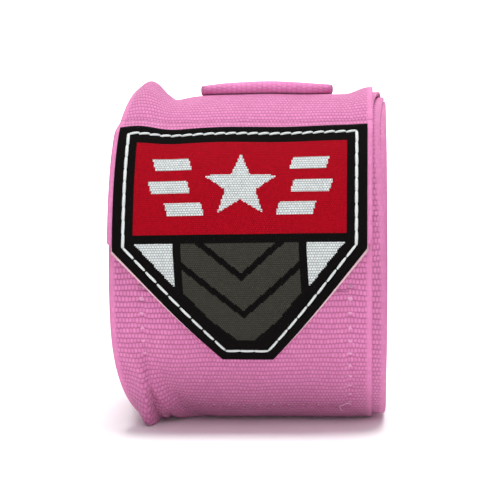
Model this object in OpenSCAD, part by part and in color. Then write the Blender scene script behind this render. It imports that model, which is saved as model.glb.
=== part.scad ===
// Hand wrap, rolled up for storage and held shut by its hook-and-loop patch.
// The elastic band is folded in half and rolled from the fold, so both of its ends lie outside:
// the closure end comes over the top and down the front, the thumb-loop end comes up the back.
// X runs along the roll's axis, -Y is the front and +Z is up. The origin is the middle of the
// flat face that the roll rests on. Angles on the roll are counted from its top, and they are
// positive towards the front and negative towards the back.

/* [Band] */
// Width of the band
band_w = 50; // [46:1:54]
// Thickness of one turn of the band as it is wound
band_t = 0.7; // [0.6:0.05:0.8]

/* [Roll] */
// Radius of the roll under the run that leads to the closure
roll_r = 32; // [30:0.5:34]
// Radius of the eye left open around the first fold
eye_r = 2; // [1.5:0.25:3]
// How far the roll has settled into its own flat resting face
settle = 0.8; // [0.6:0.1:1.2]
// How far the inner turns stand out of the outer turn at the right end
telescope = 2.8; // [1.4:0.2:4]

/* [Closure] */
// Where the closure end folds back when it is peeled, just behind the patch
peel_angle = 32; // [28:1:33]
// Where the patch's top edge lies
patch_top_angle = 36; // [36:0.5:38]
// Width of the patch
patch_w = 48; // [44:1:48]
// Length of the patch's straight sides, along the roll
patch_side = 28; // [24:1:30]
// Length of the patch from its top edge to its point, along the roll
patch_len = 50; // [46:1:51]
// Width of the flat end of the patch's point
patch_tip_w = 9.6; // [6:0.4:14]
// Thickness of the woven patch
patch_t = 0.6; // [0.5:0.05:0.8]
// Thickness of the hook pad with its hooks
hook_pad_t = 1; // [0.8:0.1:1.2]
// How far the hook pad and the band's end show past or stop short of the patch's edge
pad_margin = 0.4; // [0.2:0.1:0.8]

/* [Loop pad] */
// Where the loop pad starts, under the patch
pad_top_angle = 94; // [90:1:100]
// Where the loop pad ends, near the bottom of the roll
pad_end_angle = 150; // [144:1:152]
// Where the loop pad's right edge lies along the roll
pad_right = 22; // [18:0.5:23]
// Width of the loop pad
pad_w = 42; // [36:1:43]
// Thickness of the loop pad
pad_t = 1; // [0.8:0.1:1.2]

/* [Thumb loop] */
// Width of the thumb loop's tape
tape_w = 25; // [22:1:27]
// Thickness of the thumb loop's tape
tape_t = 0.8; // [0.7:0.05:0.9]
// Where the middle of the tape lies along the roll
tape_x = 5; // [0:0.5:8]
// Where the loop leaves its seam at the back
seam_angle = -98; // [-102:1:-94]
// Where the loop turns round at the top
loop_tip_angle = -4; // [-8:1:0]
// How wide the loop bulges open
loop_open = 9; // [8.5:0.25:11]
// How far the two layers of tape stand apart at the turn
tip_open = 0.8; // [0.6:0.1:1.2]
// Length of tape sewn down on the band's end
tail_len = 14; // [12:1:16]

/* [Stitching] */
// Thickness of the sewing thread
thread = 0.5; // [0.4:0.05:0.6]
// Length of one stitch from hole to hole
stitch_pitch = 2.9; // [2.5:0.1:3.3]
// Distance of the patch's stitch line from the patch's edge
patch_stitch_in = 2; // [1.5:0.1:2.5]

/* [Fit] */
// Room left between the ends that move and the roll
slack = 0.25; // [0.2:0.05:0.35]

/* [Hidden] */
$fn = 96;
// Height of the roll's axis above the resting face
axis_z = roll_r - settle;
// Left edge of the outer turn and of the two ends
band_left = -band_w / 2;
// Left edge of the inner turns
turns_left = band_left + telescope;
// Radii of the wound turns and of the layer that lies on the roll
turns_r = roll_r - band_t;
lead_r = roll_r + band_t;
// Radii of the closure's layers from the roll outwards
hook_r = roll_r + slack;
end_r = hook_r + hook_pad_t;
patch_in_r = end_r + band_t;
patch_out_r = patch_in_r + patch_t;
// Radii of the thumb loop's layers
tails_out_r = lead_r + 2 * tape_t;
loop_in_r = lead_r + slack;
// Gap in degrees that parts an end that moves from the stretch that stays
parting = slack / roll_r * 180 / PI;
// Where the lower run of the band's thumb-loop end comes free of the resting face
lead_start_angle = -156;
// How much of a stitch shows between its two holes, and how deep its thread sinks in
stitch_shown = 0.8;
stitch_sunk = 0.3;
// Distance of the loop pad's and the loop seam's stitch lines from their edges
seam_in = 1.2;
// Angle between two points of the thumb loop's outline
step = 3;
// Number of steps in which the closure end climbs over the hook pad
climb_steps = 8;

// Degrees that a length covers on a roll of radius r
function turn(length, r) = length / r * 180 / PI;
// Point in the roll's section at radius r and angle a: across to the back, and up
function at(r, a) = [-r * sin(a), r * cos(a)];
// Smooth rise from 0 to 1 as u goes from 0 to 1
function ease(u) = let(c = min(1, max(0, u))) c * c * (3 - 2 * c);
// Angles from a to b in even steps
function sweep(a, b) = let(n = ceil(abs(b - a) / step)) [for (i = [0:n]) a + (b - a) * i / n];

// Draws a section of the roll and extends it along the axis
module along(x, w) {
  translate([x, 0, axis_z]) rotate([90, 0, 90]) linear_extrude(w) children();
}

// Part of a tube that lies round the roll, from angle a to angle b
module wrap(r_in, r_out, a, b, x = band_left, w = band_w) {
  translate([x, 0, axis_z]) rotate([90, 0, 90]) rotate([0, 0, 90 + a])
    rotate_extrude(angle = b - a) translate([r_in, 0]) square([r_out - r_in, w]);
}

// Puts a shape on the roll with Z outwards and -Y towards the front and down
module on_roll(r, a, x) {
  translate([x, 0, axis_z]) rotate([a, 0, 0]) translate([0, 0, r]) children();
}

// Solid roll of radius r with its flat underneath
module settled_roll(r, x) {
  intersection() {
    along(x, band_w) circle(r);
    translate([x, -roll_r, roll_r - r]) cube([band_w, 2 * roll_r, 2 * roll_r]);
  }
}

// Block in front of the roll with the patch's outline, grown by margin
module shield(margin = 0) {
  side = patch_w / 2 + margin;
  corner = patch_top_angle + turn(patch_side, patch_out_r);
  point = patch_top_angle + turn(patch_len + margin, patch_out_r);
  corner_z = patch_out_r * cos(corner);
  point_z = patch_out_r * cos(point);
  translate([0, 0, axis_z]) rotate([90, 0, 0]) linear_extrude(2 * roll_r)
    polygon([[-side, 2 * roll_r], [side, 2 * roll_r], [side, corner_z],
      [patch_tip_w / 2, point_z], [-patch_tip_w / 2, point_z], [-side, corner_z]]);
}

// One row of stitches between two points given as [x, length along the roll], from angle a
module stitch_row(from, to, r, a) {
  run = to - from;
  count = round(norm(run) / stitch_pitch);
  heading = atan2(-run[1], run[0]);
  for (i = [0:count - 1]) {
    spot = from + run * (i + 0.5) / count;
    on_roll(r - stitch_sunk * thread, a + turn(spot[1], r), spot[0])
      rotate([0, 0, heading]) translate([-norm(run) / count * stitch_shown / 2, -thread / 2, 0])
        cube([norm(run) / count * stitch_shown, thread, thread]);
  }
}

// A closed or open line of stitch rows through a list of points
module stitch_line(points, r, a) {
  for (i = [0:len(points) - 2]) stitch_row(points[i], points[i + 1], r, a);
}

// All the turns under the outer one, with the pocket where the loop pad lies
module wound_turns() {
  color("#d489b4") difference() {
    settled_roll(turns_r, turns_left);
    along(turns_left - 1, band_w + 2) circle(eye_r);
    wrap(turns_r - pad_t, turns_r + 1, pad_top_angle, pad_end_angle, pad_right - pad_w, pad_w);
  }
}

// The last full turn, set to the left of the turns inside it
module outer_turn() {
  color("#cf79ae") difference() {
    settled_roll(roll_r, band_left);
    settled_roll(turns_r, band_left - 1);
    settled_roll(turns_r, band_left + 1);
  }
}

// The band's last run over the top of the roll, up to the fold behind the patch
module closure_run() {
  color("#ee9dcd") wrap(roll_r, lead_r, seam_angle + parting, peel_angle - parting);
}

// The band's closure end, which climbs over the hook pad and is cut to the patch's point
module closure_end() {
  corner_angle = patch_top_angle + turn(patch_side, patch_out_r);
  point_angle = patch_top_angle + turn(patch_len, patch_out_r);
  climb = patch_top_angle - peel_angle;
  angles = [for (i = [0:climb_steps]) peel_angle + climb * i / climb_steps];
  under = [for (i = [0:climb_steps]) at(hook_r + hook_pad_t * ease(i / climb_steps), angles[i])];
  over = [for (i = [climb_steps:-1:0]) under[i] + at(band_t, angles[i])];
  // A tongue of the climb reaches into the stretch on the pad, so that the two are one solid
  tongue = [for (part = [0.25, 0.75]) at(end_r + part * band_t, patch_top_angle + 0.5)];
  color("#e08ebd") {
    along(band_left, band_w) polygon(concat(under, tongue, over));
    intersection() {
      wrap(end_r, patch_in_r, patch_top_angle, point_angle);
      union() {
        shield(-pad_margin);
        translate([band_left, -2 * roll_r, axis_z + patch_out_r * cos(corner_angle)])
          cube([band_w, 2 * roll_r, 2 * roll_r]);
      }
    }
  }
}

// The hook pad that grips the roll, a little larger than the patch over it
module hook_pad() {
  color("#f0d9dc") intersection() {
    wrap(hook_r, end_r, patch_top_angle, patch_top_angle + turn(patch_len + 2, patch_out_r));
    shield(pad_margin);
  }
}

// The woven patch in the outline of a shield
module closure_patch() {
  color("#aa0a21") intersection() {
    wrap(patch_in_r, patch_out_r, patch_top_angle,
      patch_top_angle + turn(patch_len + 1, patch_out_r));
    shield();
  }
}

// The white stitch line round the patch
module patch_stitching() {
  side = patch_w / 2 - patch_stitch_in;
  tip = patch_tip_w / 2 - patch_stitch_in / 3;
  end = patch_len - patch_stitch_in;
  corner = patch_side - patch_stitch_in / 3;
  line = [[-side, patch_stitch_in], [side, patch_stitch_in], [side, corner], [tip, end],
    [-tip, end], [-side, corner], [-side, patch_stitch_in]];
  color("white") stitch_line(line, patch_out_r, patch_top_angle);
}

// The loop pad sewn to the inner face of the outer turn
module loop_pad() {
  color("#e9b6d3")
    wrap(turns_r - pad_t, turns_r, pad_top_angle, pad_end_angle, pad_right - pad_w, pad_w);
}

// The stitches that hold the loop pad, where they come out on the outer turn
module loop_pad_stitching() {
  right = pad_right - seam_in;
  left = pad_right - pad_w + seam_in;
  end = (pad_end_angle - pad_top_angle) * PI / 180 * roll_r - seam_in;
  line = [[left, seam_in], [left, end], [right, end], [right, seam_in], [left, seam_in]];
  color("#b9659c") stitch_line(line, roll_r - stitch_sunk * thread, pad_top_angle);
}

// The band's other end, which comes up the back to the thumb loop's seam
module loop_end_lead() {
  color("#cf79ae") wrap(roll_r, lead_r, lead_start_angle, seam_angle - parting);
}

// The two ends of the thumb loop's tape, laid together and sewn on the band's end
module loop_tails() {
  color("#dd86ba") wrap(lead_r, tails_out_r, seam_angle - turn(tail_len, lead_r),
    seam_angle - parting, tape_x - tape_w / 2, tape_w);
}

// The box and cross of stitches through the thumb loop's tails
module loop_seam_stitching() {
  side = tape_w / 2 - seam_in;
  top = tail_len - 2 * seam_in;
  box = [[-side, seam_in], [side, seam_in], [side, top], [-side, top], [-side, seam_in]];
  start = seam_angle - turn(tail_len, lead_r);
  color("#b9659c") translate([tape_x, 0, 0]) {
    stitch_line(box, tails_out_r, start);
    stitch_row([-side, seam_in] + [seam_in, seam_in], [side, top] - [seam_in, seam_in], tails_out_r, start);
    stitch_row([side, seam_in] + [-seam_in, seam_in], [-side, top] + [seam_in, -seam_in], tails_out_r, start);
  }
}

// The thumb loop: tape that runs up the back of the roll, turns round at the top and comes back
module thumb_loop() {
  angles = sweep(seam_angle, loop_tip_angle);
  count = len(angles) - 1;
  bend_r = (tape_t + tip_open) / 2;
  // How far the outer layer stands off the inner one, a part u of the way to the turn
  bulge = [for (i = [0:count]) tip_open * i / count + loop_open * pow(sin(180 * i / count), 4)];
  bend = at(loop_in_r + tape_t / 2 + bend_r, loop_tip_angle);
  outline = concat(
    [for (a = angles) at(loop_in_r, a)],
    [for (b = sweep(180, 0)) bend + at(bend_r + tape_t / 2, loop_tip_angle + b)],
    [for (i = [count:-1:0]) at(loop_in_r + 2 * tape_t + bulge[i], angles[i])]);
  hollow = concat(
    [for (i = [1:count]) at(loop_in_r + tape_t, angles[i])],
    [for (b = sweep(180, 0)) bend + at(bend_r - tape_t / 2, loop_tip_angle + b)],
    [for (i = [count:-1:1]) at(loop_in_r + tape_t + bulge[i], angles[i])]);
  color("#e58cc0") along(tape_x - tape_w / 2, tape_w) difference() {
    polygon(outline);
    polygon(hollow);
  }
}

wound_turns();
outer_turn();
closure_run();
closure_end();
hook_pad();
closure_patch();
patch_stitching();
loop_pad();
loop_pad_stitching();
loop_end_lead();
loop_tails();
loop_seam_stitching();
thumb_loop();
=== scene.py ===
import math
import bmesh
import bpy
from mathutils import Matrix, Vector


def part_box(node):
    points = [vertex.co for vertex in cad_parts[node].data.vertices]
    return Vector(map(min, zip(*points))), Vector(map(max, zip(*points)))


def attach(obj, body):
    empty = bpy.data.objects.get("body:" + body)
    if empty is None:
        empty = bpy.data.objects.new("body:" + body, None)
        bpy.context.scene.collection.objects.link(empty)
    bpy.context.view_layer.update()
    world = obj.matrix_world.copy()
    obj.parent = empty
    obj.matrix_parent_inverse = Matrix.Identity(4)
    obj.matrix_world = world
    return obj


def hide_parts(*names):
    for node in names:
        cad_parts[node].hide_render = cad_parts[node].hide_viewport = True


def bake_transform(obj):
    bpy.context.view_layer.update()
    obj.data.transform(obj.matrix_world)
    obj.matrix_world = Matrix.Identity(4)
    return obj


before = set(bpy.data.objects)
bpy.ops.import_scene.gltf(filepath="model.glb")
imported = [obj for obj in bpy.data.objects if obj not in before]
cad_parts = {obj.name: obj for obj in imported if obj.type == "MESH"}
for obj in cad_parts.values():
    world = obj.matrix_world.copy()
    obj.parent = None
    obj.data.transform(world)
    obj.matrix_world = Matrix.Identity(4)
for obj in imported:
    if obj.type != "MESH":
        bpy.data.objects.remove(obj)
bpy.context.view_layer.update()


# ---- The wound turns ------------------------------------------------------------------------
# The band is a ribbed semi-elastic cotton weave, 50 mm wide. It is folded in half, and both
# arms are wound together from the fold, so the end faces show two nested spirals. The inner
# turns have slipped to the right under the outer one.

turns_low, turns_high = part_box("wound_turns")
outer_low, outer_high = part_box("outer_turn")
turns_r = (turns_high.y - turns_low.y) / 2
roll_r = (outer_high.y - outer_low.y) / 2
axis_z = turns_high.z - turns_r
layer = roll_r - turns_r
band_w = outer_high.x - outer_low.x
band_left = outer_low.x
telescope = turns_low.x - outer_low.x
cloth_t = 0.86 * layer
peel = math.radians(32)
seam = math.radians(-98)
arm_pitch = 2 * layer / math.tau
closure_arm_r = roll_r + 0.5 * layer
loop_arm_r = roll_r - 0.5 * layer
eye_r = 0.0026
mm = 0.001


def closure_arm(angle):
    """Radius of the arm that ends in the patch, which reaches the fold behind it at peel."""
    return closure_arm_r + arm_pitch * (angle - peel)


def loop_arm(angle):
    """Radius of the arm that ends in the thumb loop, one layer under the other at the patch."""
    return loop_arm_r + arm_pitch * (angle - peel)


sag = loop_arm(math.pi) + cloth_t / 2 - axis_z
near_floor = 4 * mm
contact_soft = 0.35 * mm


def bell(value, middle, width):
    return math.exp(-0.5 * ((value - middle) / width) ** 2)


def ease(u):
    u = min(1.0, max(0.0, u))
    return u * u * (3 - 2 * u)


def turned(angle):
    """The angle brought to the range from -180 to 180 degrees, in degrees."""
    return (math.degrees(angle) + 180) % 360 - 180


def slipped(r, angle):
    """How far a turn of radius r has slipped along the axis at an angle."""
    depth = max(0.0, (loop_arm(math.pi) - r) / layer)
    held_back = 0.5 * bell(turned(angle), 35, 26) * bell(depth, 1.75, 0.4)
    start = telescope * ease((depth - 0.86) / 0.3) * (1 - held_back)
    uneven = 0.28 * math.sin(0.9 * depth + 1.3) + 0.16 * math.sin(2.3 * depth + 0.4 * math.sin(angle))
    lean = 1.2 * mm * (1 - abs(math.sin(angle))) * bell(depth, 0, 6)
    return start + uneven * mm * ease((depth - 1) / 4) + lean


def hump(x, middle, width):
    """A bell across the cloth, given in millimetres."""
    return bell(x / mm, middle, width)


def margin(x, angle, depth):
    """Moves the free left margin of the outer turns: it is drawn in where the roll turns over,
    and stands up in a lobe at the top and in a narrow ear at the bottom. The right margin rises
    a little over the top."""
    at = turned(angle)
    below = at if at > -60 else at + 360
    free = min(1.0, max(0.0, (-10 * mm - x) / (15 * mm)))
    near, deep = math.exp(-depth / 1.6), math.exp(-depth / 7)
    tuck = 3.4 * bell(at, -2, 24) + 6.6 * bell(below, 174, 24)
    across = tuck * mm * free**1.4 * math.exp(-depth / 5)
    lobe = 3.2 * bell(at, -4, 19) * hump(x, -21.2, 3.0) * near
    ear_side = ease((-18.2 - x / mm) / 1.7) if x > -19.9 * mm else hump(x, -19.9, 2.0)
    ear = 5.8 * bell(below, 149, 11) * ear_side * near
    notch = 1.0 * bell(at, -4, 19) * hump(x, -15.2, 2.2) + 1.9 * bell(below, 162, 16) * hump(x, -18.6, 0.9)
    crest = 1.3 * ease((x / mm - 19.5) / 5) - 0.6 * ease((-3 - x / mm) / 9)
    out = lobe + ear - notch * deep + crest * bell(at, -5, 24) * math.exp(-depth / 3)
    return across, out * mm


def folds(x, angle, depth):
    """Soft slanting folds in the lower left of the face and slack over the whole turn."""
    at = turned(angle)
    fold = 1.3 * bell(at, 143, 15) * hump(x, -14.8 + 0.2 * (at - 150), 1.8)
    crease = -0.9 * bell(at, 145, 13) * hump(x, -18.6 + 0.1 * (at - 157), 1.2)
    second = -0.8 * bell(at, 139, 15) * hump(x, -11.2 + 0.24 * (at - 150), 1.6)
    slack = 0.10 * math.sin(310 * x + 3.1 * angle) + 0.08 * math.sin(170 * x - 5 * angle + 1)
    return (fold + crease + second + slack) * mm * math.exp(-depth / 2.5)


def on_roll(r, angle, x, lift=0.0):
    """Point of the cloth at radius r, an angle from the top towards the front, and x along the
    roll. The turns flatten where the roll rests."""
    depth = max(0.0, (loop_arm(math.pi) - r) / layer - 0.3)
    across, out = margin(x, angle, depth)
    lump = (0.22 * math.sin(3 * angle + 0.6) + 0.13 * math.sin(5 * angle - 1)) * mm * (r / roll_r) ** 2
    reach = r + lift + out + folds(x, angle, depth) + lump
    up = axis_z + reach * math.cos(angle)
    floor = axis_z - r + sag * (r / roll_r) ** 2 + max(0.0, lift)
    if up - floor < near_floor:
        up = floor + contact_soft * math.log1p(math.exp((up - floor) / contact_soft))
    return Vector((x + across + slipped(r, angle), -reach * math.sin(angle), up))


def strip(name, width, rows, columns, place, edges=None):
    """A strip of cloth: a grid of columns by rows whose vertices go where place(u, v) says, with
    u from 0 to 1 across and v the row's number. Its UV map is the flat cloth in metres."""
    bm = bmesh.new()
    bmesh.ops.create_grid(bm, x_segments=columns, y_segments=rows, size=0.5)
    uv = bm.loops.layers.uv.new("flat")
    for vert in bm.verts:
        u = vert.co.x + 0.5
        u = edges(u) if edges else u
        vert.co, vert.normal = Vector((u, (vert.co.y + 0.5) * rows, 0)), Vector((0, 0, 1))
    for face in bm.faces:
        for loop in face.loops:
            point, along = place(loop.vert.co.x, loop.vert.co.y)
            loop[uv].uv = (loop.vert.co.x * width, along)
    for vert in bm.verts:
        vert.co = place(vert.co.x, vert.co.y)[0]
    return finished(name, bm)


def finished(name, bm, smooth=True):
    mesh = bpy.data.meshes.new(name)
    for face in bm.faces:
        face.smooth = smooth
    bm.to_mesh(mesh)
    bm.free()
    piece = bpy.data.objects.new(name, mesh)
    bpy.context.scene.collection.objects.link(piece)
    return piece


def thicken(piece, thickness, offset=0.0):
    solid = piece.modifiers.new("thickness", "SOLIDIFY")
    solid.thickness = thickness
    solid.offset = offset
    solid.use_even_offset = True
    return piece


def node(tree, kind, **settings):
    made = tree.nodes.new(kind)
    for key, value in settings.items():
        if key.startswith("in_"):
            made.inputs[int(key[3:])].default_value = value
        else:
            setattr(made, key, value)
    return made


def maths(tree, operation, a, b=None, c=None):
    """A Math node that takes sockets or numbers, and gives its output socket."""
    made = tree.nodes.new("ShaderNodeMath")
    made.operation = operation
    for i, value in enumerate((a, b, c)):
        if value is None:
            continue
        if isinstance(value, (int, float)):
            made.inputs[i].default_value = value
        else:
            tree.links.new(value, made.inputs[i])
    return made.outputs[0]


def blended(tree, share, a, b, blend_type="MIX"):
    """A colour mix. share, a and b are sockets or values, and the output socket comes back."""
    made = tree.nodes.new("ShaderNodeMix")
    made.data_type, made.blend_type = "RGBA", blend_type
    for socket, value in ((0, share), (6, a), (7, b)):
        if isinstance(value, (int, float, tuple)):
            made.inputs[socket].default_value = value
        else:
            tree.links.new(value, made.inputs[socket])
    return made.outputs[2]


def group(name, inputs, outputs):
    tree = bpy.data.node_groups.new(name, "ShaderNodeTree")
    for label, kind, value in inputs:
        socket = tree.interface.new_socket(label, in_out="INPUT", socket_type=kind)
        if value is not None:
            socket.default_value = value
    for label, kind in outputs:
        tree.interface.new_socket(label, in_out="OUTPUT", socket_type=kind)
    return tree, tree.nodes.new("NodeGroupInput"), tree.nodes.new("NodeGroupOutput")


def ribbed_weave():
    """Ribs across the band, each a row of small beads where the warp floats over the weft.
    Height is for bump, Groove is 1 between the threads, Tone differs from bead to bead."""
    tree, given, result = group(
        "ribbed weave",
        [("Flat", "NodeSocketVector", None), ("Rib pitch", "NodeSocketFloat", 1.1 * mm),
         ("Bead pitch", "NodeSocketFloat", 0.66 * mm), ("Offset", "NodeSocketFloat", 0.5),
         ("Width", "NodeSocketFloat", band_w)],
        [("Height", "NodeSocketFloat"), ("Groove", "NodeSocketFloat"), ("Tone", "NodeSocketFloat")])
    wander = node(tree, "ShaderNodeTexNoise", in_2=190.0, in_3=2.0)
    tree.links.new(given.outputs["Flat"], wander.inputs["Vector"])
    apart = tree.nodes.new("ShaderNodeSeparateXYZ")
    tree.links.new(given.outputs["Flat"], apart.inputs[0])
    stray = maths(tree, "MULTIPLY", maths(tree, "SUBTRACT", wander.outputs["Fac"], 0.5), 0.9 * mm)
    along = maths(tree, "DIVIDE", maths(tree, "ADD", apart.outputs["Y"], stray), given.outputs["Rib pitch"])
    row = maths(tree, "FLOOR", along)
    shift = maths(tree, "MULTIPLY", maths(tree, "MODULO", row, 2.0), given.outputs["Offset"])
    strayed = maths(tree, "ADD", apart.outputs["X"], maths(tree, "MULTIPLY", stray, 0.5))
    across = maths(tree, "ADD", maths(tree, "DIVIDE", strayed, given.outputs["Bead pitch"]), shift)
    rib_turn = maths(tree, "MULTIPLY", maths(tree, "FRACT", along), math.pi)
    rib = maths(tree, "POWER", maths(tree, "SINE", rib_turn), 0.45)
    bead_turn = maths(tree, "MULTIPLY", maths(tree, "FRACT", across), math.pi)
    bead = maths(tree, "POWER", maths(tree, "SINE", bead_turn), 0.6)
    woven = maths(tree, "MULTIPLY", rib, maths(tree, "ADD", maths(tree, "MULTIPLY", bead, 0.74), 0.26))
    far_edge = maths(tree, "SUBTRACT", given.outputs["Width"], apart.outputs["X"])
    edge = maths(tree, "MINIMUM", apart.outputs["X"], far_edge)
    fading = maths(tree, "SUBTRACT", 2.2, maths(tree, "DIVIDE", edge, 0.6 * mm))
    plain = maths(tree, "MAXIMUM", 0.0, maths(tree, "MINIMUM", 0.85, fading))
    ribbed_part = maths(tree, "MULTIPLY", woven, maths(tree, "SUBTRACT", 1.0, plain))
    high = maths(tree, "ADD", ribbed_part, maths(tree, "MULTIPLY", plain, 0.85))
    cell = tree.nodes.new("ShaderNodeCombineXYZ")
    tree.links.new(maths(tree, "FLOOR", across), cell.inputs[0])
    tree.links.new(row, cell.inputs[1])
    own = node(tree, "ShaderNodeTexWhiteNoise", noise_dimensions="3D")
    tree.links.new(cell.outputs[0], own.inputs["Vector"])
    tree.links.new(high, result.inputs["Height"])
    tree.links.new(maths(tree, "POWER", maths(tree, "SUBTRACT", 1.0, high), 1.5), result.inputs["Groove"])
    tree.links.new(own.outputs["Value"], result.inputs["Tone"])
    return tree


weave = ribbed_weave()


def woven_cotton(name, light, dark, groove_shade, rib_pitch=1.1 * mm, bead_pitch=0.66 * mm, offset=0.5,
                 depth=0.2 * mm, width=band_w, contrast=1.0):
    """Cotton with a ribbed weave and plain selvedges: light and dark are the two ends of its
    uneven dye. Between the threads it is mixed towards a darker colour, partly the cloth's own
    deeper colour there and partly painted shade in the grooves."""
    made = bpy.data.materials.new(name)
    made.use_nodes = True
    tree = made.node_tree
    shader = tree.nodes["Principled BSDF"]
    flat = node(tree, "ShaderNodeUVMap", uv_map="flat")
    cloth = tree.nodes.new("ShaderNodeGroup")
    cloth.node_tree = weave
    cloth.inputs["Rib pitch"].default_value = rib_pitch
    cloth.inputs["Bead pitch"].default_value = bead_pitch
    cloth.inputs["Offset"].default_value = offset
    cloth.inputs["Width"].default_value = width
    tree.links.new(flat.outputs["UV"], cloth.inputs["Flat"])
    place = tree.nodes.new("ShaderNodeTexCoord")
    dye = node(tree, "ShaderNodeTexNoise", in_2=70.0, in_3=3.0)
    tree.links.new(place.outputs["Object"], dye.inputs["Vector"])
    own_tone = maths(tree, "MULTIPLY", cloth.outputs["Tone"], 0.45)
    uneven = maths(tree, "ADD", own_tone, maths(tree, "MULTIPLY", dye.outputs["Fac"], 0.6))
    body = blended(tree, uneven, dark, light)
    # Partly painted shade: darker between the threads, partly the cloth's own deeper colour there.
    colour = blended(tree, maths(tree, "MULTIPLY", cloth.outputs["Groove"], contrast), body, groove_shade)
    tree.links.new(colour, shader.inputs["Base Color"])
    fuzz = node(tree, "ShaderNodeTexNoise", in_2=5200.0, in_3=2.0)
    tree.links.new(place.outputs["Object"], fuzz.inputs["Vector"])
    height = maths(tree, "ADD", cloth.outputs["Height"], maths(tree, "MULTIPLY", fuzz.outputs["Fac"], 0.22))
    bump = node(tree, "ShaderNodeBump", in_0=0.9)
    bump.inputs["Distance"].default_value = depth
    tree.links.new(height, bump.inputs["Height"])
    tree.links.new(bump.outputs["Normal"], shader.inputs["Normal"])
    shader.inputs["Roughness"].default_value = 0.92
    shader.inputs["Specular IOR Level"].default_value = 0.25
    shader.inputs["Sheen Weight"].default_value = 0.12
    shader.inputs["Sheen Roughness"].default_value = 0.5
    return made


# The third colour is for the grooves between the ribs: partly the cloth's deeper colour, partly painted
# shade.
pink_light, pink_dark, pink_groove_shade = (0.70, 0.23, 0.465, 1), (0.56, 0.165, 0.35, 1), (0.26, 0.045, 0.14, 1)
cotton = woven_cotton("ribbed pink cotton", pink_light, pink_dark, pink_groove_shade)

# The strip runs from under the closure arm inwards to the fold, and out along the other arm.
row_step = 3.4 * mm
widest_step = math.radians(16)
wound_columns = 16
eye_angle = peel - (closure_arm_r - eye_r) / arm_pitch
fold_r = layer / 2
fold_rows = 5
stations = []
angle = seam
while angle > eye_angle:
    stations.append((closure_arm(angle), angle))
    angle -= min(widest_step, row_step / closure_arm(angle))
for i in range(fold_rows + 1):
    half = math.pi * i / fold_rows
    stations.append((closure_arm(eye_angle) - fold_r * (1 - math.cos(half)),
                     eye_angle - fold_r * math.sin(half) / eye_r))
angle = eye_angle
while angle < seam:
    angle += min(widest_step, row_step / loop_arm(angle))
    stations.append((loop_arm(min(angle, seam)), min(angle, seam)))
lengths = [0.0]
for (r0, a0), (r1, a1) in zip(stations, stations[1:]):
    lengths.append(lengths[-1] + math.hypot(r1 - r0, (r0 + r1) / 2 * (a1 - a0)))


def wound_place(u, v):
    i = min(len(stations) - 1, round(v))
    r, at = stations[i]
    return on_roll(r, at, band_left + u * band_w), lengths[i]


def finer_left(u):
    """More columns where the left margin bends."""
    return u * (0.42 + 0.58 * u)


wound = strip("wound_turns_cloth", band_w, len(stations) - 1, wound_columns, wound_place, finer_left)
wound.data.materials.append(cotton)
thicken(wound, cloth_t)
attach(wound, "roll")
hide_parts("wound_turns")


# ---- The outer turn -------------------------------------------------------------------------
# The same band, seen as the face below the patch and round the bottom. It comes up the back to
# its end, where the thumb loop is sewn on. A pad sewn inside raises it a little, and the
# stitches of that pad draw the cloth in.

pad_low, pad_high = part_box("loop_pad")
pad_from, pad_to = math.radians(94), math.radians(150)
pad_seam_in = 1.2 * mm
stitch_pitch = 2.9 * mm
relief_end = math.radians(156)
face_columns = 100
loop_end = math.tau + seam


def pad_relief(x, at):
    """How much the pad under the cloth lifts it, and how deep each stitch draws it in."""
    r = roll_r
    side = min(x - pad_low.x, pad_high.x - x)
    end = (pad_to - at) * r
    inside = ease((side + 0.6 * mm) / (1.6 * mm)) * ease((end + 0.6 * mm) / (1.6 * mm))
    lift = 0.32 * mm * inside * ease((at - pad_from) * r / (4 * mm))
    across, down = side - pad_seam_in, end - pad_seam_in
    line = min(abs(across) if down > -pad_seam_in else 9, abs(down) if across > -pad_seam_in else 9)
    run = x if abs(down) < abs(across) else at * r
    hole = 0.5 + 0.5 * math.cos(math.tau * run / stitch_pitch)
    drawn = math.exp(-0.5 * (line / (0.6 * mm)) ** 2) * (0.22 + 0.75 * hole**3) * mm
    return lift - drawn


def outer_place(u, v):
    at = seam + (loop_end - seam) * v / outer_rows
    x = band_left + u * band_w
    relief = pad_relief(x, at) if pad_from < at < relief_end else 0.0
    return on_roll(loop_arm(at), at, x, relief), lengths[-1] + (at - seam) * loop_arm(at)


outer_rows = 300
outer = strip("outer_turn_cloth", band_w, outer_rows, face_columns, outer_place)
outer.data.materials.append(cotton)
thicken(outer, cloth_t)
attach(outer, "roll")
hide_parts("outer_turn", "loop_end_lead")


# ---- The run over the top -------------------------------------------------------------------
# The closure arm's last stretch. It comes out from under the thumb loop's end at the back and
# goes over the top to the fold behind the patch.

run_rows = 110


def run_place(u, v):
    at = seam + (peel - seam) * v / run_rows
    return on_roll(closure_arm(at), at, band_left + u * band_w), (seam - at) * closure_arm(at)


run_over = strip("closure_run_cloth", band_w, run_rows, face_columns, run_place)
run_over.data.materials.append(cotton)
thicken(run_over, cloth_t)
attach(run_over, "roll")
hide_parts("closure_run")


# ---- The closure end ------------------------------------------------------------------------
# The last 50 mm of the band. It climbs on the hook pad, lies between the pad and the patch, and
# is cut to the patch's point.

pad_out_r = -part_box("hook_pad")[0].y
end_out_r = -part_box("closure_end")[0].y
patch_out_r = -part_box("closure_patch")[0].y
patch_w = 2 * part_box("closure_patch")[1].x
patch_t = patch_out_r - end_out_r
patch_top = math.radians(36)
patch_side, patch_len, tip_w = 28 * mm, 50 * mm, 9.6 * mm


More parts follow.
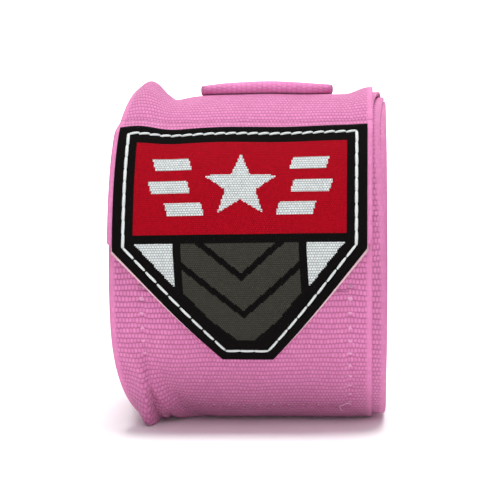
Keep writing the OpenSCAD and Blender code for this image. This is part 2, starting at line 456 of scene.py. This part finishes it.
def flat_cloth(left, right, top, bottom, cell):
    """A flat grid of cloth, x across and y along, with its UV map in metres."""
    bm = bmesh.new()
    bmesh.ops.create_grid(bm, x_segments=round((right - left) / cell),
                          y_segments=round((bottom - top) / cell), size=0.5)
    uv = bm.loops.layers.uv.new("flat")
    for vert in bm.verts:
        vert.co = (left + (vert.co.x + 0.5) * (right - left), top + (vert.co.y + 0.5) * (bottom - top), 0)
    for face in bm.faces:
        for loop in face.loops:
            loop[uv].uv = loop.vert.co.xy
    return bm


def cut(bm, point, normal):
    """Cuts off what lies beyond a line in the flat cloth."""
    bmesh.ops.bisect_plane(bm, geom=bm.verts[:] + bm.edges[:] + bm.faces[:], dist=1e-7,
                           plane_co=(*point, 0), plane_no=(*normal, 0), clear_outer=True)


def cut_to_point(bm, grown, start=0.0):
    """Cuts the patch's two slants and its flat tip, moved outwards by grown."""
    for way in (-1, 1):
        corner = Vector((way * patch_w / 2, start + patch_side))
        tip = Vector((way * tip_w / 2, start + patch_len))
        along = (tip - corner).normalized()
        across = Vector((way * along.y, -way * along.x))
        cut(bm, corner + grown * across, across)
    cut(bm, (0, start + patch_len + grown), (0, 1))


def patch_place(x, along, r, lift=0.0):
    """A point of the patch or pad, at x across and a length from the patch's top edge."""
    lower = max(0.0, along - patch_side) / (patch_len - patch_side)
    upper = max(0.0, 1 - max(0.0, along) / patch_side)
    turned_x = x - 0.2 * mm + 1.45 * mm * lower
    drawn_down = (1.15 * mm - 0.022 * x) * upper - 0.012 * (x + 24 * mm) * (1 - upper) * (1 - lower)
    at = patch_top + (along + drawn_down) / patch_out_r
    nominal = loop_arm(math.pi)
    raised_fold = math.exp(-0.5 * ((x + 20 * mm) / (3.4 * mm)) ** 2)
    hollow = 0.8 * math.exp(-0.5 * ((x + 14 * mm) / (3 * mm)) ** 2)
    wave = 0.5 * mm * bell(math.degrees(at), 36, 9) * (raised_fold - hollow)
    return on_roll(nominal, at, turned_x * 1.005, r - nominal + wave + lift)


climb_len = (patch_top - peel) * patch_out_r
end_bm = flat_cloth(-band_w / 2, band_w / 2, -climb_len, patch_len - 0.4 * mm, 0.6 * mm)
cut_to_point(end_bm, -0.4 * mm)
start_r, held_r = closure_arm(peel), (pad_out_r + end_out_r) / 2
for vert in end_bm.verts:
    x, along = vert.co.x, vert.co.y
    share = ease((along + climb_len) / (climb_len * 1.5))
    low = on_roll(start_r, peel + (along + climb_len) / patch_out_r, x)
    vert.co = low.lerp(patch_place(x, along, held_r), share)
fold_at = (seam - peel) * closure_arm(peel)
end_map = end_bm.loops.layers.uv["flat"]
for face in end_bm.faces:
    for loop in face.loops:
        x, along = loop[end_map].uv
        loop[end_map].uv = (x + band_w / 2, fold_at - along - climb_len)
end_cloth = finished("closure_end_cloth", end_bm)
end_cloth.data.materials.append(cotton)
thicken(end_cloth, cloth_t)
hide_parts("closure_end")
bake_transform(end_cloth)


# ---- The hook pad ---------------------------------------------------------------------------
# A woven nylon pad under the patch, with rows of small moulded hooks that hold on to the turn
# below. It is cut a little larger than the patch, so that its cream edge shows.

pad_margin = 0.45 * mm
base_t = 0.45 * mm
pad_side = patch_w / 2 + pad_margin / 2
pad_bm = flat_cloth(-pad_side, pad_side, 0.3 * mm, patch_len + pad_margin, 1 * mm)
cut_to_point(pad_bm, pad_margin)
for vert in pad_bm.verts:
    vert.co = patch_place(vert.co.x, vert.co.y, pad_out_r - base_t / 2)
base = finished("hook_pad_base", pad_bm)
thicken(base, base_t)

nylon = bpy.data.materials.new("cream pink nylon")
nylon.use_nodes = True
nylon_tree = nylon.node_tree
nylon_shader = nylon_tree.nodes["Principled BSDF"]
speck = node(nylon_tree, "ShaderNodeTexNoise", in_2=1400.0, in_3=2.0)
nylon_place = nylon_tree.nodes.new("ShaderNodeTexCoord")
nylon_tree.links.new(nylon_place.outputs["Object"], speck.inputs["Vector"])
nylon_tree.links.new(blended(nylon_tree, speck.outputs["Fac"], (0.62, 0.36, 0.42, 1), (0.80, 0.60, 0.62, 1)),
                     nylon_shader.inputs["Base Color"])
nylon_bump = node(nylon_tree, "ShaderNodeBump", in_0=0.6)
nylon_bump.inputs["Distance"].default_value = 0.1 * mm
nylon_tree.links.new(speck.outputs["Fac"], nylon_bump.inputs["Height"])
nylon_tree.links.new(nylon_bump.outputs["Normal"], nylon_shader.inputs["Normal"])
nylon_shader.inputs["Roughness"].default_value = 0.55
base.data.materials.append(nylon)
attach(base, "closure")
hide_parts("hook_pad")

hook_rise, hook_wire, hook_pitch = 0.55 * mm, 0.16 * mm, 1.75 * mm


def one_hook():
    """A square wire that rises and curls over."""
    bm = bmesh.new()
    bmesh.ops.create_grid(bm, x_segments=1, y_segments=1, size=hook_wire / 2)
    end = bm.faces[:]
    for lean, climb in ((0, 0.5), (10, 0.25), (50, 0.2), (55, 0.2), (50, 0.16)):
        end = bmesh.ops.extrude_face_region(bm, geom=end)["geom"]
        corners = [g for g in end if isinstance(g, bmesh.types.BMVert)]
        middle = sum((v.co for v in corners), Vector()) / len(corners)
        bmesh.ops.rotate(bm, verts=corners, cent=middle, matrix=Matrix.Rotation(math.radians(lean), 3, "X"))
        faces = [g for g in end if isinstance(g, bmesh.types.BMFace)]
        faces[0].normal_update()
        out = faces[0].normal if faces[0].normal.length else Vector((0, 0, 1))
        bmesh.ops.translate(bm, verts=corners, vec=climb * hook_rise * out)
        end = faces
    mesh = bpy.data.meshes.new("hook")
    bmesh.ops.recalc_face_normals(bm, faces=bm.faces[:])
    bm.to_mesh(mesh)
    bm.free()
    return mesh


def facing(place, x, along, heading=0.0, inwards=False):
    """Turns and moves a shape drawn along X with Z up so that it lies on a placed cloth."""
    small = 0.3 * mm
    middle = place(x, along)
    ahead = (place(x + small, along) - place(x - small, along)).normalized()
    down = (place(x, along + small) - place(x, along - small)).normalized()
    out = down.cross(ahead).normalized() * (1 if not inwards else -1)
    direction = (math.cos(heading) * ahead + math.sin(heading) * down).normalized()
    side = out.cross(direction).normalized()
    return Matrix(((direction.x, side.x, out.x, middle.x), (direction.y, side.y, out.y, middle.y),
                   (direction.z, side.z, out.z, middle.z), (0, 0, 0, 1)))


def many(name, mesh, places, material):
    """One object made of a mesh repeated at each of the places."""
    bm = bmesh.new()
    for place in places:
        before = len(bm.verts)
        bm.from_mesh(mesh)
        bm.verts.ensure_lookup_table()
        bmesh.ops.transform(bm, matrix=place, verts=bm.verts[before:])
    made = finished(name, bm)
    made.data.materials.append(material)
    return made


def inside_patch(x, along, inset):
    """Whether a point of the flat patch is at least inset from its edge."""
    slant = Vector((patch_len - patch_side, (patch_w - tip_w) / 2)).normalized()
    beyond = slant.x * (abs(x) - patch_w / 2) + slant.y * (along - patch_side)
    return (abs(x) < patch_w / 2 - inset and inset < along < patch_len - inset and beyond < -inset)


def hook_face(x, along):
    return patch_place(x, along, pad_out_r - base_t)


hook_places = []
for row in range(int(patch_len / hook_pitch)):
    for column in range(-14, 15):
        x, along = (column + 0.5 * (row % 2)) * hook_pitch, (row + 0.5) * hook_pitch
        if inside_patch(x, along, 2.6 * mm):
            hook_places.append(facing(hook_face, x, along, math.pi * (column % 2), inwards=True))
hooks = many("hook_pad_hooks", one_hook(), hook_places, nylon)
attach(hooks, "closure")


# ---- The woven patch ------------------------------------------------------------------------
# A damask label in the outline of a shield. Its ground is black, the upper field red with a
# plain star and bars, and the lower one holds grey chevrons between two white corners. The
# satin areas stand a little over the ground, and their edges step from thread to thread.

border = 4.0 * mm
field_from, field_to = 4.4 * mm, 25.0 * mm
lower_from = 26.7 * mm
star_middle = (field_from + field_to) / 2
star_r, star_waist = 7.2 * mm, 3.0 * mm


def in_star(x, along):
    far = math.hypot(x, along - star_middle)
    tilt = abs(math.degrees(math.atan2(x, star_middle - along)) % 72 - 36)
    p = Vector((far * math.cos(math.radians(tilt)), far * math.sin(math.radians(tilt))))
    waist = Vector((star_waist, 0))
    tip = star_r * Vector((math.cos(math.radians(36)), math.sin(math.radians(36))))
    edge, reach = tip - waist, p - waist
    return edge.x * reach.y - edge.y * reach.x > 0


def in_bars(x, along):
    slanted = abs(x) + 0.25 * (along - star_middle)
    for level, reach in ((-5.0 * mm, 15.2 * mm), (0.0, 17.2 * mm), (5.0 * mm, 15.2 * mm)):
        start = 9.8 * mm - 0.3 * abs(level)
        if abs(along - star_middle - level) < 1.35 * mm and start < slanted < reach:
            return True
    return False


def area(x, along):
    """The thread that shows at a point of the flat patch."""
    if not inside_patch(x, along, border):
        return 0
    if field_from < along < field_to:
        return 2 if in_star(x, along) or in_bars(x, along) else 1
    if along < lower_from:
        return 0
    if abs(x) < 11.2 * mm:
        step = (along + 0.85 * abs(x) - lower_from) % (7.2 * mm)
        return 3 if step < 5.7 * mm and inside_patch(x, along, border + 0.5 * mm) else 0
    return 2 if abs(x) > 12.7 * mm else 0


thread_cell = 0.3 * mm
patch_bm = flat_cloth(-patch_w / 2, patch_w / 2, 0, patch_len, thread_cell)
cut_to_point(patch_bm, 0)
for face in patch_bm.faces:
    middle = face.calc_center_median()
    face.material_index = area(middle.x, middle.y)
lifts = [0.0, 0.05 * mm, 0.11 * mm, 0.08 * mm]
raised = {v: max(lifts[f.material_index] for f in v.link_faces) for v in patch_bm.verts}


def needle_line(x, along):
    """How deep the stitch line draws the patch in."""
    slant = Vector((patch_len - patch_side, (patch_w - tip_w) / 2)).normalized()
    edge = min(patch_w / 2 - abs(x), along, patch_len - along,
               slant.x * (patch_w / 2 - abs(x)) + slant.y * (patch_side - along))
    rolled = -0.22 * mm * (1 - ease(edge / (0.7 * mm)))
    return rolled - 0.16 * mm * math.exp(-0.5 * ((edge - 2.05 * mm) / (0.5 * mm)) ** 2)


for vert in patch_bm.verts:
    x, along = vert.co.x, vert.co.y
    vert.co = patch_place(x, along, patch_out_r - patch_t * 0.06, raised[vert] + needle_line(x, along))
patch = finished("woven_patch", patch_bm)
thicken(patch, patch_t * 0.85, -1.0 if patch.data.polygons[0].normal.z > 0 else 1.0)


def damask():
    """Fine twill of a woven label: slanting floats, with painted shade in the gap at each crossing."""
    tree, given, result = group(
        "damask twill", [("Flat", "NodeSocketVector", None), ("Pitch", "NodeSocketFloat", 0.42 * mm)],
        [("Height", "NodeSocketFloat"), ("Hole", "NodeSocketFloat"), ("Tone", "NodeSocketFloat")])
    apart = tree.nodes.new("ShaderNodeSeparateXYZ")
    tree.links.new(given.outputs["Flat"], apart.inputs[0])
    across = maths(tree, "DIVIDE", apart.outputs["X"], given.outputs["Pitch"])
    along = maths(tree, "DIVIDE", apart.outputs["Y"], given.outputs["Pitch"])
    row = maths(tree, "FLOOR", along)
    slid = maths(tree, "ADD", across, maths(tree, "MULTIPLY", row, 0.5))
    u, v = maths(tree, "FRACT", slid), maths(tree, "FRACT", along)
    high = maths(tree, "MULTIPLY", maths(tree, "SINE", maths(tree, "MULTIPLY", u, math.pi)),
                 maths(tree, "SINE", maths(tree, "MULTIPLY", v, math.pi)))
    cell = tree.nodes.new("ShaderNodeCombineXYZ")
    tree.links.new(maths(tree, "FLOOR", slid), cell.inputs[0])
    tree.links.new(row, cell.inputs[1])
    own = node(tree, "ShaderNodeTexWhiteNoise", noise_dimensions="3D")
    tree.links.new(cell.outputs[0], own.inputs["Vector"])
    tree.links.new(maths(tree, "POWER", high, 0.5), result.inputs["Height"])
    tree.links.new(maths(tree, "POWER", maths(tree, "SUBTRACT", 1.0, high), 4.0), result.inputs["Hole"])
    tree.links.new(own.outputs["Value"], result.inputs["Tone"])
    return tree


twill = damask()


def label_thread(name, colour, hole, roughness, gap_shade, pitch=0.42 * mm):
    """Polyester thread of one colour in the label's twill, with painted shade in the gaps."""
    made = bpy.data.materials.new(name)
    made.use_nodes = True
    tree = made.node_tree
    shader = tree.nodes["Principled BSDF"]
    flat = node(tree, "ShaderNodeUVMap", uv_map="flat")
    cloth = tree.nodes.new("ShaderNodeGroup")
    cloth.node_tree = twill
    cloth.inputs["Pitch"].default_value = pitch
    tree.links.new(flat.outputs["UV"], cloth.inputs["Flat"])
    toned = blended(tree, cloth.outputs["Tone"], tuple(0.84 * c for c in colour[:3]) + (1,), colour)
    shown = blended(tree, maths(tree, "MULTIPLY", cloth.outputs["Hole"], gap_shade), toned, hole)
    tree.links.new(shown, shader.inputs["Base Color"])
    bump = node(tree, "ShaderNodeBump", in_0=0.7)
    bump.inputs["Distance"].default_value = 0.08 * mm
    tree.links.new(cloth.outputs["Height"], bump.inputs["Height"])
    tree.links.new(bump.outputs["Normal"], shader.inputs["Normal"])
    shader.inputs["Roughness"].default_value = roughness
    shader.inputs["Specular IOR Level"].default_value = 0.03
    return made


# The second colour of each thread is the painted shade in the gaps between its floats.
patch.data.materials.append(label_thread(
    "black label thread", (0.005, 0.004, 0.004, 1), (0.002, 0.002, 0.002, 1), 0.9, 0.6))
patch.data.materials.append(label_thread(
    "red label thread", (0.35, 0.002, 0.010, 1), (0.15, 0.0, 0.005, 1), 0.7, 0.7, 0.40 * mm))
patch.data.materials.append(label_thread(
    "white label thread", (0.62, 0.65, 0.65, 1), (0.09, 0.11, 0.12, 1), 0.6, 0.95, 0.5 * mm))
patch.data.materials.append(label_thread(
    "grey label thread", (0.046, 0.044, 0.036, 1), (0.010, 0.010, 0.008, 1), 0.7, 0.9, 0.40 * mm))
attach(patch, "closure")
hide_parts("closure_patch")


# ---- The patch's stitching ------------------------------------------------------------------
# White lock stitch through the patch, the band and the hook pad. The stitches lie flat and
# straight down the sides and slants, and twisted across the top.

def sewing_thread(name, colour):
    """Twisted polyester sewing thread."""
    made = bpy.data.materials.new(name)
    made.use_nodes = True
    tree = made.node_tree
    shader = tree.nodes["Principled BSDF"]
    place = tree.nodes.new("ShaderNodeTexCoord")
    ply = node(tree, "ShaderNodeTexNoise", in_2=3500.0, in_3=1.0)
    tree.links.new(place.outputs["Object"], ply.inputs["Vector"])
    in_the_lay = tuple(0.78 * c for c in colour[:3]) + (1,)
    tree.links.new(blended(tree, ply.outputs["Fac"], in_the_lay, colour), shader.inputs["Base Color"])
    bump = node(tree, "ShaderNodeBump", in_0=0.5)
    bump.inputs["Distance"].default_value = 0.05 * mm
    tree.links.new(ply.outputs["Fac"], bump.inputs["Height"])
    tree.links.new(bump.outputs["Normal"], shader.inputs["Normal"])
    shader.inputs["Roughness"].default_value = 0.6
    return made


def one_stitch(length, width, height):
    """A stretch of thread that comes out of one needle hole, lies flat and goes in at the next."""
    bm = bmesh.new()
    bmesh.ops.create_cone(bm, cap_ends=True, segments=8, radius1=0.5, radius2=0.5, depth=1)
    bmesh.ops.rotate(bm, verts=bm.verts[:], cent=(0, 0, 0), matrix=Matrix.Rotation(math.pi / 2, 3, "Y"))
    for place in (-0.42, -0.3, 0.0, 0.3, 0.42):
        bmesh.ops.bisect_plane(bm, geom=bm.verts[:] + bm.edges[:] + bm.faces[:], dist=1e-6,
                               plane_co=(place, 0, 0), plane_no=(1, 0, 0))
    for vert in bm.verts:
        q = abs(2 * vert.co.x) ** 3
        narrow = 1 - 0.25 * q
        vert.co = (vert.co.x * length, vert.co.y * width * narrow,
                   (vert.co.z * narrow + 0.32 * (1 - q) - 0.25 * q) * height)
    mesh = bpy.data.meshes.new("stitch")
    bm.to_mesh(mesh)
    bm.free()
    return mesh


def stitch_run(place, start, end, pitch, slanted=0.0, inwards=False):
    """Places for stitches from start to end on a placed cloth, each turned by slanted."""
    start, end = Vector(start), Vector(end)
    count = max(1, round((end - start).length / pitch))
    heading = math.atan2(end.y - start.y, end.x - start.x)
    made = []
    for i in range(count):
        spot = start.lerp(end, (i + 0.5) / count)
        wander = 0.03 * math.sin(12.9 * i + 7 * heading)
        made.append(facing(place, spot.x, spot.y, heading + slanted + wander, inwards))
    return made


def patch_face(x, along):
    return patch_place(x, along, patch_out_r, needle_line(x, along) - 0.05 * mm)


side, stitch_in = patch_w / 2 - 2.05 * mm, 2.05 * mm
low_corner, tip_x = patch_side - 0.7 * mm, tip_w / 2 - 0.8 * mm
outline = [(side, stitch_in), (side, low_corner), (tip_x, patch_len - stitch_in),
           (-tip_x, patch_len - stitch_in), (-side, low_corner), (-side, stitch_in)]
white_thread = sewing_thread("white sewing thread", (0.64, 0.67, 0.67, 1))
side_stitches, point_stitches = [], []
for start, end in zip(outline, outline[1:]):
    upright = start[0] == end[0]
    (side_stitches if upright else point_stitches).extend(stitch_run(patch_face, start, end, stitch_pitch))
side_stitch = one_stitch(stitch_pitch * 0.98, 0.64 * mm, 0.40 * mm)
side_run = many("patch_stitching_sides", side_stitch, side_stitches, white_thread)
point_stitch = one_stitch(stitch_pitch * 0.98, 0.50 * mm, 0.38 * mm)
point_run = many("patch_stitching_point", point_stitch, point_stitches, white_thread)
top_stitch = one_stitch(2.2 * mm, 0.46 * mm, 0.44 * mm)
top_stitches = stitch_run(patch_face, (-side, stitch_in), (side, stitch_in), 2.08 * mm, slanted=-0.16)
top_run = many("patch_stitching_top", top_stitch, top_stitches, white_thread)
for run_piece in (side_run, point_run, top_run):
    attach(run_piece, "closure")
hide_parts("patch_stitching")


# ---- The loop pad and its stitches ----------------------------------------------------------
# A napped nylon pad sewn to the inner face of the outer turn. Only its stitches show, sunk in
# the face of the band, with a loose end of thread at the lower right corner.

nap_t = 0.38 * mm
nap_bm = flat_cloth(pad_low.x, pad_high.x, 0, (pad_to - pad_from) * roll_r, 1.5 * mm)
for vert in nap_bm.verts:
    at = pad_from + vert.co.y / roll_r
    vert.co = on_roll(loop_arm(at), at, vert.co.x, -0.18 * mm)
nap = finished("loop_pad_cloth", nap_bm)
thicken(nap, nap_t)
napped = bpy.data.materials.new("napped pink nylon")
napped.use_nodes = True
nap_tree = napped.node_tree
nap_shader = nap_tree.nodes["Principled BSDF"]
nap_place = nap_tree.nodes.new("ShaderNodeTexCoord")
pile = node(nap_tree, "ShaderNodeTexNoise", in_2=2600.0, in_3=3.0)
nap_tree.links.new(nap_place.outputs["Object"], pile.inputs["Vector"])
napped_pink = blended(nap_tree, pile.outputs["Fac"], (0.50, 0.18, 0.34, 1), (0.78, 0.42, 0.62, 1))
nap_tree.links.new(napped_pink, nap_shader.inputs["Base Color"])
nap_bump = node(nap_tree, "ShaderNodeBump", in_0=1.0)
nap_bump.inputs["Distance"].default_value = 0.2 * mm
nap_tree.links.new(pile.outputs["Fac"], nap_bump.inputs["Height"])
nap_tree.links.new(nap_bump.outputs["Normal"], nap_shader.inputs["Normal"])
nap_shader.inputs["Roughness"].default_value = 1.0
nap_shader.inputs["Sheen Weight"].default_value = 0.5
nap.data.materials.append(napped)
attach(nap, "roll")
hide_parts("loop_pad")


def band_face(x, along):
    at = pad_from + along / roll_r
    return on_roll(loop_arm(at), at, x, pad_relief(x, at) + cloth_t / 2)


# Painted shade: the pink thread is darkened to the cloth's shaded tone, for the dimples the stitches sink
# into.
shaded_pink_thread = sewing_thread("pink sewing thread", (0.52, 0.15, 0.32, 1))
sew_left, sew_right = pad_low.x + pad_seam_in, pad_high.x - pad_seam_in
sew_top, sew_end = pad_seam_in, (pad_to - pad_from) * roll_r - pad_seam_in
pad_stitches = []
for start, end in (((sew_left, sew_top), (sew_left, sew_end)), ((sew_left, sew_end), (sew_right, sew_end)),
                   ((sew_right, sew_end), (sew_right, sew_top)), ((sew_right, sew_top), (sew_left, sew_top))):
    pad_stitches += stitch_run(band_face, start, end, stitch_pitch)
pad_stitch = one_stitch(stitch_pitch * 0.8, 0.34 * mm, 0.30 * mm)
sewn = many("loop_pad_stitching_thread", pad_stitch, pad_stitches, shaded_pink_thread)
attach(sewn, "roll")
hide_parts("loop_pad_stitching")


def loose_end():
    """A short curled end of thread: a small ring of vertices swept along a curl."""
    points = [(sew_right + x * mm, sew_end + s * mm, h * mm) for x, s, h in
              ((0.2, -0.6, 0.0), (-0.3, -1.5, 0.35), (-1.2, -1.9, 0.5), (-2.0, -1.5, 0.45), (-2.1, -0.6, 0.5),
               (-1.7, 0.2, 0.6), (-1.9, 0.9, 0.5), (-1.4, 1.5, 0.35))]
    route = bpy.data.curves.new("loose_thread_route", "CURVE")
    route.dimensions, route.bevel_depth, route.bevel_resolution, route.resolution_u = "3D", 0.10 * mm, 1, 5
    spline = route.splines.new("NURBS")
    spline.points.add(len(points) - 1)
    spline.use_endpoint_u, spline.order_u = True, 4
    for knot, (x, s, h) in zip(spline.points, points):
        at = pad_from + s / roll_r
        knot.co = (*on_roll(loop_arm(at), at, x, pad_relief(x, at) + cloth_t / 2 + h), 1)
    drawn = bpy.data.objects.new("loose_thread_route", route)
    bpy.context.scene.collection.objects.link(drawn)
    bpy.context.view_layer.update()
    mesh = bpy.data.meshes.new_from_object(drawn)
    bpy.data.objects.remove(drawn)
    made = bpy.data.objects.new("loose_thread_end", mesh)
    bpy.context.scene.collection.objects.link(made)
    return made


pale_thread = sewing_thread("pale pink thread", (0.80, 0.42, 0.62, 1))
stray = loose_end()
stray.data.materials.clear()
stray.data.materials.append(pale_thread)
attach(stray, "roll")


# ---- The thumb loop -------------------------------------------------------------------------
# 25 mm cotton tape, ribbed along its length. Its two tails are sewn together on the band's end,
# and the loop stands open up the back of the roll, with its turn just over the top.

loop_low, loop_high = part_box("thumb_loop")
tape_w = loop_high.x - loop_low.x
tape_x = (loop_low.x + loop_high.x) / 2
tape_t = 0.8 * mm
tail_len = 14 * mm
loop_tip = math.radians(-4)
loop_open, tip_open = 9 * mm, 0.8 * mm
tail_turn = tail_len / roll_r
on_band = (cloth_t + 0.9 * tape_t) / 2 + 0.04 * mm
doubled = 0.95 * tape_t
step_down = loop_arm(loop_end) - closure_arm(seam)
bend_r = (doubled + tip_open) / 2


def tape_line():
    """The tape's middle line as (height over the band, angle), from the end of its inner tail
    round to the end of the outer one."""
    line = [(on_band, seam - tail_turn + tail_turn * i / 12) for i in range(12)]
    span = loop_tip - seam
    for i in range(61):
        u = i / 60
        line.append((on_band + step_down * (1 - ease(u * 9)), seam + span * u))
    for i in range(1, 10):
        half = math.pi * i / 10
        line.append((on_band + bend_r * (1 - math.cos(half)), loop_tip + bend_r * math.sin(half) / roll_r))
    for i in range(61):
        u = 1 - i / 60
        bulge = tip_open * u + loop_open * math.sin(math.pi * u) ** 4
        line.append((on_band + step_down * (1 - ease(u * 9)) + doubled + bulge, seam + span * u))
    line += [(on_band + doubled, seam - tail_turn * i / 12) for i in range(1, 13)]
    return line


def on_tape(x, height, at):
    """Point of the tape. Its turn is pushed forward in the middle, and lies flatter at the
    sides, which spread a little."""
    across = x / (tape_w / 2)
    near_turn = bell(math.degrees(at), -4, 16) if at < loop_tip else 1.0
    spread = 1 + 0.03 * near_turn - 0.03 * bell(math.degrees(at), -32, 10)
    leaning = 1.0 * mm * (1 - abs(math.sin(at)))
    flatter = on_band + (height - on_band) * (1 - 0.22 * across**2 * near_turn)
    at_x = tape_x + x * spread - leaning
    if at < seam:
        return on_roll(loop_arm(at + math.tau), at, at_x, flatter)
    at += math.radians(9) * (1 - across**4) * near_turn
    return on_roll(closure_arm(at), at, at_x, flatter)


tape_stations = tape_line()
tape_lengths = [0.0]
for (h0, a0), (h1, a1) in zip(tape_stations, tape_stations[1:]):
    tape_lengths.append(tape_lengths[-1] + math.hypot(h1 - h0, (roll_r + (h0 + h1) / 2) * (a1 - a0)))


def tape_place(u, v):
    i = min(len(tape_stations) - 1, round(v))
    height, at = tape_stations[i]
    return on_tape((u - 0.5) * tape_w, height, at), tape_lengths[i]


tape = strip("thumb_loop_tape", tape_w, len(tape_stations) - 1, 26, tape_place)
flat_map = tape.data.uv_layers["flat"].data
for corner in flat_map:
    corner.uv = (corner.uv.y, corner.uv.x)
# The tape's third colour is likewise partly painted shade between its ribs, mixed in at lower strength.
tape.data.materials.append(woven_cotton(
    "ribbed pink tape", (0.76, 0.26, 0.52, 1), (0.65, 0.20, 0.42, 1), (0.40, 0.10, 0.24, 1),
    rib_pitch=0.96 * mm, bead_pitch=0.5 * mm, depth=0.13 * mm, width=9.0, contrast=0.4))
thicken(tape, 0.9 * tape_t)
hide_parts("thumb_loop", "loop_tails")
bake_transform(tape)


def tail_face(x, along):
    return on_tape(x, on_band + doubled + 0.45 * tape_t, seam - along / roll_r)


box_x, box_from, box_to = tape_w / 2 - 1.3 * mm, 1.3 * mm, tail_len - 1.3 * mm
tail_stitches = []
for start, end in (((-box_x, box_from), (box_x, box_from)), ((box_x, box_from), (box_x, box_to)),
                   ((box_x, box_to), (-box_x, box_to)), ((-box_x, box_to), (-box_x, box_from)),
                   ((-box_x, box_from), (box_x, box_to)), ((box_x, box_from), (-box_x, box_to))):
    tail_stitches += stitch_run(tail_face, start, end, 2.6 * mm, inwards=True)
tail_stitch = one_stitch(2.3 * mm, 0.46 * mm, 0.40 * mm)
tails_sewn = many("thumb_loop_stitching", tail_stitch, tail_stitches, pale_thread)
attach(tails_sewn, "roll")
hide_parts("loop_seam_stitching")


# ---- Floor, light and camera ----------------------------------------------------------------
# A pale sweep, a large soft light overhead and a weaker one in front. The camera is level with
# the patch and looks slightly down.

def sweep_floor():
    bm = bmesh.new()
    bmesh.ops.create_grid(bm, x_segments=1, y_segments=1, size=2.0)
    back = [e for e in bm.edges if all(v.co.y > 1.9 for v in e.verts)]
    raised = bmesh.ops.extrude_edge_only(bm, edges=back)
    far_verts = [g for g in raised["geom"] if isinstance(g, bmesh.types.BMVert)]
    bmesh.ops.translate(bm, vec=(0, 0, 3.0), verts=far_verts)
    bmesh.ops.bevel(bm, geom=back, offset=0.8, affect="EDGES", segments=16, profile=0.5, material=-1)
    return finished("floor", bm)


floor = sweep_floor()
paper = bpy.data.materials.new("pale paper")
paper.use_nodes = True
paper.node_tree.nodes["Principled BSDF"].inputs["Base Color"].default_value = (0.93, 0.93, 0.93, 1)
paper.node_tree.nodes["Principled BSDF"].inputs["Roughness"].default_value = 0.9
floor.data.materials.append(paper)


def soft_light(name, place, target, size, power):
    lamp = bpy.data.lights.new(name, "AREA")
    lamp.shape, lamp.size, lamp.energy = "DISK", size, power
    made = bpy.data.objects.new(name, lamp)
    made.location = place
    made.rotation_mode = "QUATERNION"
    made.rotation_quaternion = (Vector(target) - Vector(place)).to_track_quat("-Z", "Y")
    bpy.context.scene.collection.objects.link(made)


roll_middle = (0.0, 0.0, axis_z)
soft_light("overhead light", (0.05, -0.1, 1.3), roll_middle, 0.7, 16)
soft_light("front light", (0.1, -0.9, 0.8), roll_middle, 0.8, 2.6)
soft_light("low light", (0.0, -0.3, 0.02), (0, -0.02, 0.008), 0.1, 0.27)
soft_light("backdrop light", (0.0, 0.7, 1.5), (0, 2, 0.7), 1.0, 60)
sky = bpy.data.worlds.new("studio")
sky.use_nodes = True
sky.node_tree.nodes["Background"].inputs[0].default_value = (1, 1, 1, 1)
sky.node_tree.nodes["Background"].inputs[1].default_value = 0.27
bpy.context.scene.world = sky
bpy.context.scene.view_settings.view_transform = "Standard"

elevation = math.radians(6)
distance = 0.6
look_at = Vector((1.8 * mm, 0, axis_z + 1.2 * mm))
lens = bpy.data.cameras.new("camera")
lens.lens, lens.sensor_width = 216, 36
camera = bpy.data.objects.new("camera", lens)
camera.location = look_at + distance * Vector((0, -math.cos(elevation), math.sin(elevation)))
camera.rotation_mode = "QUATERNION"
camera.rotation_quaternion = (look_at - camera.location).to_track_quat("-Z", "Y")
bpy.context.scene.collection.objects.link(camera)
bpy.context.scene.camera = camera
